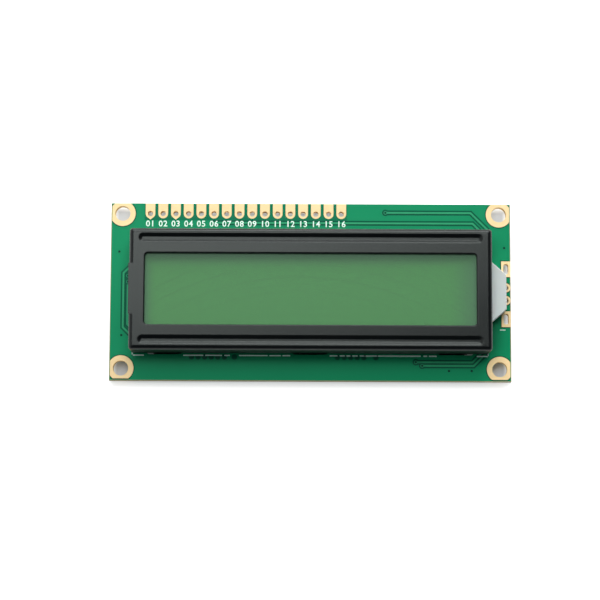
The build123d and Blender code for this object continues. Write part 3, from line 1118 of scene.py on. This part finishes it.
@dataclass
class Print:
    """White ink on the board: the module's outline, plain numbers and the outlines of the chips."""

    layout: BoardLayout
    stock: Stock
    ink: float = 0.045
    line: float = 0.26
    outline_y: float = -12.9
    outline_x: float = 35.1
    corner_top: float = -12.2
    stroke_growth: float = 0.022
    number_height: float = 1.2
    number_y: float = 13.42

    def dashes(self) -> list[Point]:
        """Start and end of each printed stretch of the outline's lower line."""
        return [
            (-self.outline_x, -32.9),
            (-25.15, -21.15),
            (-20.8, -17.45),
            (-17.0, -15.9),
            (-14.1, -8.4),
            (-8.1, -5.8),
            (-5.5, -3.95),
            (3.85, 5.4),
            (5.8, 6.85),
            (7.15, 7.95),
            (8.3, 9.4),
            (9.75, 10.7),
            (10.95, 13.2),
            (13.4, 21.9),
            (22.4, 23.15),
            (23.5, 25.05),
            (32.95, self.outline_x),
        ]

    def outline(self) -> None:
        """Builds what shows of the module's printed outline below the bezel."""
        sheet = self.layout.sheet(Side.FRONT)
        for start, end in self.dashes():
            sheet.strip([(start, self.outline_y), (end, self.outline_y)], self.line)
        foot = self.outline_y + self.line / 2
        for x in (-self.outline_x - self.line, self.outline_x):
            sheet.box((x, foot), (x + self.line, self.corner_top))
        sheet.strip([(37.6, -7.62), (38.7, -7.62)], 0.14)
        self.ink_piece(sheet, "printed_outline")

    def ink_piece(self, sheet: Sheet, name: str) -> None:
        """Makes a drawn sheet a printed piece.

        Args:
            sheet: What was drawn.
            name: The piece's name.
        """
        sheet.press(self.ink)
        sheet.piece(name, self.stock.coat(PRINT_INK), "solder_mask")

    def numbers(self, name: str, places: dict[str, Point], height: float, side: Side) -> None:
        """Builds plain printed numbers.

        Args:
            name: The piece's name.
            places: The centre of each number.
            height: The height of the digits.
            side: The face of the board, on which the numbers read the right way round.
        """
        joined = bmesh.new()
        base = self.layout.top if side is Side.FRONT else self.layout.rear
        for body, (x, y) in places.items():
            text = bpy.data.curves.new(name, "FONT")
            text.body = body
            text.size = height / 0.72 * MM
            text.extrude = self.ink / 2 * MM
            text.align_x = "CENTER"
            text.align_y = "CENTER"
            text.resolution_u = 3
            text.space_character = 1.12
            text.offset = self.stroke_growth * height * MM
            carrier = bpy.data.objects.new(name, text)
            bpy.context.scene.collection.objects.link(carrier)
            bpy.context.view_layer.update()
            flat = bpy.data.meshes.new_from_object(carrier)
            place = Matrix.Translation(Vector((x, y, base + side.value * self.ink / 2)) * MM)
            turn = Matrix.Identity(4) if side is Side.FRONT else Matrix.Rotation(math.pi, 4, "Y")
            flat.transform(place @ turn)
            joined.from_mesh(flat)
            bpy.data.objects.remove(carrier)
            bpy.data.curves.remove(text)
            bpy.data.meshes.remove(flat)
        bmesh.ops.remove_doubles(joined, verts=joined.verts, dist=0.0005 * MM)
        bmesh.ops.recalc_face_normals(joined, faces=joined.faces)
        as_piece(joined, name, self.stock.coat(PRINT_INK))

    def build(self) -> None:
        """Builds the print of both faces."""
        self.outline()
        pins = {
            f"{pin:02d}": (x, self.number_y)
            for pin, (x, _) in enumerate(self.layout.header_points(), start=1)
        }
        self.numbers("pin_numbers", pins, self.number_height, Side.FRONT)


@dataclass
class RearFace:
    """The unseen rear of the board: bus traces, chip outlines and plain numbers."""

    layout: BoardLayout
    stock: Stock
    print_: Print
    conductors: Conductors
    cap_x: float = 15.5
    cap_y: float = -1.5
    cap_radius: float = 7.0
    cap_outline: Point = (0.35, 0.55)
    tuck: float = 0.2
    bus_x: float = -24.0
    bus_pitch: float = 1.27
    bus_start: float = 1.0
    bus_level: float = 12.35
    bus_steps: Point = (0.28, 0.21)
    bus_turn: int = 6
    bus_foot: float = 7.4
    fan_pitch: float = 0.8
    trace_width: float = 0.26
    link_y: float = -4.2
    link_pitch: float = 0.9
    link_count: int = 7
    row_x: float = 10.0
    row_pitch: float = 3.4
    row_count: int = 7
    row_y: float = 8.2
    row_top: float = 9.6
    row_foot: float = 6.6
    rail_y: float = 10.1
    rail_ends: Point = (9.0, 31.4)
    driver_pitch: float = 1.3
    least_drop: float = 0.05
    lamp_run_x: tuple[float, float, float] = (38.0, 36.2, 34.7)
    lamp_run_jog: float = 0.3
    long_y: float = -12.6
    long_pitch: float = 0.75
    long_end: float = 30.0
    long_steps: tuple[int, int] = (2, 3)
    long_count: int = 5
    chip_half: Point = (0.95, 1.9)
    lone_chips: tuple[Point, ...] = ((34.0, -0.45), (0.0, 4.0), (0.0, -7.0))
    print_width: float = 0.15
    number_height: float = 1.0
    row_number: Point = (1.55, -1.3)
    lone_number: Point = (-1.7, 0.0)
    end_gaps: Point = (2.0, 2.2)

    def row_places(self) -> list[float]:
        """Where the resistors of the long row stand along X."""
        return [self.row_x + self.row_pitch * i for i in range(self.row_count)]

    def chips(self) -> list[Point]:
        """The centres of the resistors, and then of the two capacitors."""
        return [*((x, self.row_y) for x in self.row_places()), *self.lone_chips]

    def bus(self) -> list[list[Point]]:
        """The sixteen traces from the header to the controller's cap."""
        runs = []
        last = self.layout.header_count - 1
        left_step, right_step = self.bus_steps
        for i, (x, y) in enumerate(self.layout.header_points()):
            rise = left_step * i if i <= self.bus_turn else right_step * (last - i)
            level = self.bus_level + rise
            down_x = self.bus_x + i * self.bus_pitch
            fan_x = -self.cap_x + (i - last / 2) * self.fan_pitch
            lead = abs(down_x - fan_x)
            room = (self.cap_radius - self.tuck) ** 2 - (fan_x + self.cap_x) ** 2
            inside = math.sqrt(max(room, 0))
            runs.append(
                [
                    (x, y - self.bus_start),
                    (x, level),
                    (down_x, level),
                    (down_x, self.bus_foot + lead),
                    (fan_x, self.bus_foot),
                    (fan_x, self.cap_y + inside),
                ]
            )
        return runs

    def links(self) -> list[list[Point]]:
        """Traces between the caps, round the resistors and the lamp's pads, and along the lower edge."""
        runs = []
        for i in range(self.link_count):
            y = self.link_y + self.link_pitch * i
            reach = math.sqrt(self.cap_radius**2 - (y - self.cap_y) ** 2) - self.tuck
            runs.append([(-self.cap_x + reach, y), (self.cap_x - reach, y)])
        places = self.row_places()
        for i, x in enumerate(places):
            fan_x = self.cap_x + (i - (self.row_count - 1) / 2) * self.driver_pitch
            drop = abs(x - fan_x)
            inside = math.sqrt((self.cap_radius - self.tuck) ** 2 - (fan_x - self.cap_x) ** 2)
            start = max(self.row_foot, self.cap_y + inside + self.tuck)
            if drop < self.least_drop or start - drop < self.cap_y + inside:
                continue
            runs.append([(x, start), (fan_x, start - drop), (fan_x, self.cap_y + inside)])
        runs.append([(x, self.rail_y) for x in self.rail_ends])
        runs += [[(x, self.rail_y), (x, self.row_top)] for x in places]
        pad_x, turn_x, chip_x = self.lamp_run_x
        for sign in (-1, 1):
            pad_y = self.layout.display_y + sign * self.layout.pin_spacing / 2
            chip_y = pad_y + sign * self.lamp_run_jog
            runs.append([(pad_x, pad_y), (turn_x, pad_y), (turn_x, chip_y), (chip_x, chip_y)])
        return runs + self.long_runs()

    def long_runs(self) -> list[list[Point]]:
        """The long traces along the lower edge, each shorter than the one above it."""
        left_step, right_step = self.long_steps
        runs = []
        for i in range(self.long_count):
            y = self.long_y - self.long_pitch * i
            runs.append([(-self.long_end + left_step * i, y), (self.long_end - right_step * i, y)])
        return runs

    def vias(self) -> list[Point]:
        """The filled holes at the ends of the long lower traces."""
        return [end for run in self.long_runs() for end in run]

    def build(self) -> None:
        """Builds the rear's traces and print."""
        self.conductors.traces(Side.REAR, self.bus() + self.links(), self.vias(), self.trace_width)
        sheet = self.layout.sheet(Side.REAR)
        half_x, half_y = self.chip_half
        for x, y in self.chips():
            for sign in (-1, 1):
                side_x = x + sign * half_x
                sheet.strip([(side_x, y - half_y), (side_x, y + half_y)], self.print_width)
        inner, outer = (self.cap_radius + margin for margin in self.cap_outline)
        for sign in (-1, 1):
            sheet.ring((sign * self.cap_x, self.cap_y), outer, inner, 72)
        self.print_.ink_piece(sheet, "printed_chip_outlines")
        spots = {}
        for number, (x, y) in enumerate(self.chips(), start=1):
            aside = self.row_number if y == self.row_y else self.lone_number
            spots[str(number)] = (x + aside[0], y + aside[1])
        self.print_.numbers("chip_numbers", spots, self.number_height, Side.REAR)
        row = self.layout.header_points()
        before, after = self.end_gaps
        (left, y), (right, _) = row[0], row[-1]
        ends = {"1": (left - before, y), str(len(row)): (right + after, y)}
        self.print_.numbers("row_end_numbers", ends, self.print_.number_height, Side.REAR)


@dataclass(frozen=True)
class Softbox:
    """One rectangular lamp of the studio, turned to the module."""

    name: str
    place: tuple[float, float, float]
    size: tuple[float, float]
    power: float
    task: Task = Task.BOTH

    def build(self) -> None:
        """Hangs the lamp."""
        light = bpy.data.lights.new(self.name, "AREA")
        light.shape = "RECTANGLE"
        light.size, light.size_y = self.size
        light.energy = self.power
        lamp = bpy.data.objects.new(self.name, light)
        lamp.visible_diffuse = self.task is not Task.CARD
        lamp.visible_glossy = self.task is not Task.FILL
        lamp.location = self.place
        lamp.rotation_euler = Vector(self.place).to_track_quat("Z", "Y").to_euler()
        bpy.context.scene.collection.objects.link(lamp)


@dataclass
class Studio:
    """A white table, three lamps, a card that only shows in the gloss, the room and the camera."""

    floor_half: float = 2.0
    floor_level: float = cad_box[0].z
    floor_white: Colour = (0.86, 0.86, 0.86)
    floor_painted_shade: Colour = (0.50, 0.54, 0.60)
    floor_lift: float = 0.60
    floor_lift_under: float = 0.03
    lift_reach: Point = (-1.35, 0.3)
    lamps: tuple[Softbox, ...] = (
        Softbox("overhead_softbox", (-0.05, 0.128, 0.60), (0.40, 0.11), 1.02),
        Softbox("high_rear_softbox", (0.0, 0.24, 0.55), (0.40, 0.22), 0.97),
        Softbox("low_rear_softbox", (0.08, 0.85, 0.27), (0.70, 0.40), 12.0, Task.FILL),
        Softbox("rear_card", (0.03, 0.64, 0.39), (0.60, 0.26), 5.0, Task.CARD),
    )
    room_dark: float = 0.045
    room_left: float = 1.0
    room_rear: float = 0.8
    room_low: float = 0.9
    room_left_range: Point = (-0.85, -0.3)
    room_rear_range: Point = (0.3, 0.9)
    room_low_range: Point = (0.13, 0.18)
    room_tint: Colour = (0.45, 0.85, 1.0)
    room_tint_end: float = 0.3
    camera_place: tuple[float, float, float] = (-0.001862, -0.052, 0.4016)
    camera_turn: tuple[float, float, float] = (7.1558, 0.0, 0.2369)
    lens: float = 121.77
    sensor: float = 36.0

    def floor(self) -> None:
        """Builds the table top: white to the camera, with its shadows, and painted darker and bluer
        under the board as a painted shadow.

        Light passes through it, and it isn't seen from below, so the module's rear can be looked at.
        """
        shape = bmesh.new()
        bmesh.ops.create_grid(
            shape,
            x_segments=1,
            y_segments=1,
            size=self.floor_half,
            matrix=Matrix.Translation((0, 0, self.floor_level)),
        )
        mesh = bpy.data.meshes.new("table_top")
        shape.to_mesh(mesh)
        shape.free()
        floor = bpy.data.objects.new("table_top", mesh)
        bpy.context.scene.collection.objects.link(floor)
        finish = Finish("white table")
        light = finish.node("ShaderNodeLightPath").outputs
        seen = finish.sum(Sums.LARGER, light["Is Camera Ray"], light["Is Glossy Ray"])
        seen = finish.sum(Sums.LARGER, seen, light["Is Transmission Ray"])
        low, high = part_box("circuit_board")
        centre = (low + high) / 2
        beyond = [
            finish.sum(
                Sums.SUBTRACT,
                finish.sum(Sums.ABSOLUTE, finish.sum(Sums.SUBTRACT, along, centre[axis])),
                high[axis] - centre[axis],
            )
            for axis, along in enumerate(finish.axes()[:2])
        ]
        start, end = (reach * MM for reach in self.lift_reach)
        # Painted shadow: this mask is 0 under the board, where the table's colour turns darker and bluer
        # and its lift fades out.
        clear = finish.remap(finish.sum(Sums.LARGER, *beyond), start, end, 0.0, 1.0)
        lift = finish.remap(clear, 0.0, 1.0, self.floor_lift_under, self.floor_lift)
        below = finish.node("ShaderNodeNewGeometry").outputs["Backfacing"]
        passed = finish.sum(Sums.LARGER, below, light["Is Shadow Ray"])
        finish.set(
            Base_Color=finish.mix(clear, opaque(self.floor_painted_shade), opaque(self.floor_white)),
            Roughness=0.9,
            Specular_IOR_Level=0.0,
            Emission_Color=opaque((1.0, 1.0, 1.0)),
            Emission_Strength=finish.sum(Sums.MULTIPLY, seen, lift),
            Alpha=finish.sum(Sums.SUBTRACT, 1.0, passed),
        )
        mesh.materials.append(finish.material)

    def room(self) -> None:
        """Sets the world: a room that is pale near the table, bright on the left and dark in front."""
        world = bpy.data.worlds.new("room")
        bpy.context.scene.world = world
        world.use_nodes = True
        wiring = Wiring(world.node_tree)
        background = world.node_tree.nodes["Background"]
        split = wiring.node("ShaderNodeSeparateXYZ")
        wiring.feed(split.inputs[0], wiring.node("ShaderNodeTexCoord").outputs["Generated"])
        x, y, z = split.outputs
        left = wiring.remap(x, *self.room_left_range, self.room_left, 0.0)
        rear = wiring.remap(y, *self.room_rear_range, 0.0, self.room_rear)
        low = wiring.remap(z, *self.room_low_range, self.room_low, 0.0)
        light = wiring.sum(Sums.LARGER, wiring.sum(Sums.LARGER, left, rear), low)
        wiring.feed(background.inputs["Strength"], wiring.sum(Sums.LARGER, light, self.room_dark))
        tint = wiring.remap(light, 0.0, self.room_tint_end, 0.0, 1.0)
        shade = wiring.mix(tint, opaque(self.room_tint), opaque((1.0, 1.0, 1.0)))
        wiring.feed(background.inputs["Color"], shade)

    def camera(self) -> None:
        """Places the camera as the photograph was taken."""
        data = bpy.data.cameras.new("camera")
        data.lens = self.lens
        data.sensor_width = self.sensor
        data.clip_start = 0.01
        camera = bpy.data.objects.new("camera", data)
        camera.location = self.camera_place
        camera.rotation_euler = [math.radians(angle) for angle in self.camera_turn]
        bpy.context.scene.collection.objects.link(camera)
        bpy.context.scene.camera = camera

    def build(self) -> None:
        """Builds the whole studio."""
        bpy.context.scene.view_settings.view_transform = "Standard"
        self.floor()
        self.room()
        for lamp in self.lamps:
            lamp.build()
        self.camera()


def main() -> None:
    """Builds the studio and dresses the module, piece by piece."""
    logging.basicConfig(level=logging.INFO, format="%(message)s")
    Studio().build()
    stock = Stock()
    layout = BoardLayout()
    CadPieces().dress(stock)
    conductors = Conductors(layout, stock)
    conductors.build()
    print_ = Print(layout, stock)
    print_.build()
    RearFace(layout, stock, print_, conductors).build()


if __name__ == "__main__":
    main()
